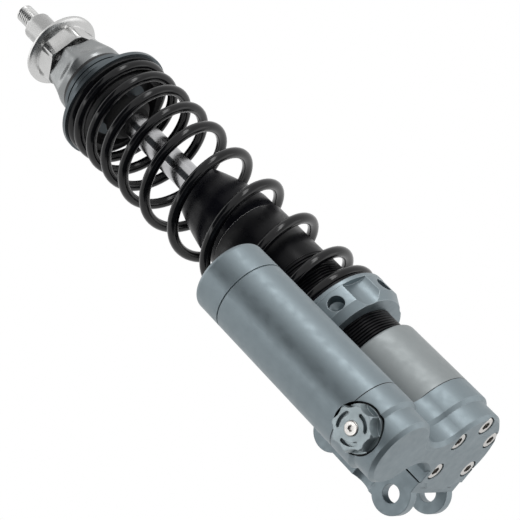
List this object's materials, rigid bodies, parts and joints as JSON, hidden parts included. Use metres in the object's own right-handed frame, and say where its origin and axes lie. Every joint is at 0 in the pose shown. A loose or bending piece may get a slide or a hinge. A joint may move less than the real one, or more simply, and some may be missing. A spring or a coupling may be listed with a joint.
{
  "type": "coilover shock absorber",
  "caption": "Scooter coilover damper with progressive spring, threaded preload collar, external reservoir, stud top mount and two-bolt lower clevis.",
  "frame": {"origin": "middle of the lower clevis bolt bore, halfway between the two clevis plates", "axes": "+X along the lower clevis bolt, towards the reservoir; +Z parallel to the damper axis, from the clevis to the top stud; +Y from the clevis bolts towards the damper axis, which stands at x 0, y 29 mm"},
  "size_m": [0.1104, 0.0698, 0.3554],
  "materials": {
    "grey_anodised": "satin blue-grey anodised",
    "sleeve_anodised": "satin grey anodised",
    "black_anodised": "satin black anodised",
    "spring_black": "gloss black powder coat",
    "zinc_steel": "bright zinc",
    "hard_chrome": "polished",
    "dark_steel": "dark phosphated",
    "bronze": "plain",
    "seal_rubber": "matte",
    "black_plastic": "matte",
    "ptfe": "matte",
    "raw_aluminium": "machined"
  },
  "bodies": {
    "housing": {"cap_oring": "seal_rubber", "damper_sleeve": "sleeve_anodised", "damper_tube": "black_anodised", "dust_wiper": "seal_rubber", "gas_valve": "zinc_steel", "gas_valve_cap": "black_plastic", "gland_oring": "seal_rubber", "housing_screws": "zinc_steel", "lower_housing": "grey_anodised", "needle_seat": "dark_steel", "reservoir_cap": "grey_anodised", "reservoir_tube": "grey_anodised", "rod_bush": "bronze", "rod_seal": "seal_rubber", "seal_head": "black_anodised", "seal_head_oring": "seal_rubber", "spring": "spring_black", "tube_foot": "raw_aluminium", "valve_gland": "bronze"},
    "rod": {"piston_rod": "hard_chrome", "compression_shims": "dark_steel", "rebound_shims": "dark_steel", "damper_piston": "raw_aluminium", "piston_band": "ptfe", "piston_nut": "zinc_steel", "topout_bumper": "seal_rubber", "bump_stop": "seal_rubber", "seat_nut": "zinc_steel", "upper_spring_seat": "grey_anodised", "spring_guide": "black_plastic", "seat_washer": "black_plastic", "top_mount": "zinc_steel"},
    "rebound_adjuster": {"rebound_knob": "grey_anodised"},
    "rebound_valve": {"rebound_needle": "raw_aluminium", "rebound_pin": "zinc_steel"},
    "compression_adjuster": {"compression_knob": "grey_anodised", "compression_spindle": "dark_steel", "knob_screw": "zinc_steel"},
    "compression_valve": {"compression_needle": "dark_steel"},
    "spring_washer": {"thrust_washer": "dark_steel"},
    "collar": {"preload_collar": "grey_anodised"},
    "gas_piston": {"floating_piston": "raw_aluminium", "floating_piston_oring": "seal_rubber"}
  },
  "joints": [
    {"name": "stroke", "type": "slide", "parent": "housing", "child": "rod", "axis": [0, 0, 1], "range_m": [-0.055, 0], "stiffness_N_per_m": 22000, "springref_m": 0.009, "deforming": ["spring"]},
    {"name": "rebound_knob_turn", "type": "hinge", "parent": "rod", "child": "rebound_adjuster", "pos_m": [0, 0.029, 0.2858], "axis": [0, 0, 1], "range_deg": [-540, 540]},
    {"name": "rebound_needle_slide", "type": "slide", "parent": "rod", "child": "rebound_valve", "axis": [0, 0, 1], "range_m": [-0.00115, 0.00115]},
    {"name": "compression_knob_turn", "type": "hinge", "parent": "housing", "child": "compression_adjuster", "pos_m": [0.0702, 0.029, 0.0078], "axis": [1, 0, 0], "range_deg": [-540, 540]},
    {"name": "compression_needle_slide", "type": "slide", "parent": "housing", "child": "compression_valve", "axis": [1, 0, 0], "range_m": [-0.00115, 0.00115]},
    {"name": "collar_travel", "type": "slide", "parent": "housing", "child": "spring_washer", "axis": [0, 0, 1], "range_m": [-0.00901, 0.00901], "deforming": ["spring"]},
    {"name": "collar_turn", "type": "hinge", "parent": "spring_washer", "child": "collar", "pos_m": [0, 0.029, 0.0738], "axis": [0, 0, 1], "range_deg": [-2160, 2160]},
    {"name": "gas_piston_slide", "type": "slide", "parent": "housing", "child": "gas_piston", "axis": [0, 0, 1], "range_m": [-0.0005, 0.013]}
  ],
  "couplings": [
    {"joint": "rebound_needle_slide", "follows": "rebound_knob_turn", "m_per_rad": 0.00011937},
    {"joint": "compression_needle_slide", "follows": "compression_knob_turn", "m_per_rad": 0.00011937},
    {"joint": "collar_travel", "follows": "collar_turn", "m_per_rad": 0.00023873},
    {"joint": "gas_piston_slide", "follows": "stroke", "ratio": -0.21778}
  ]
}
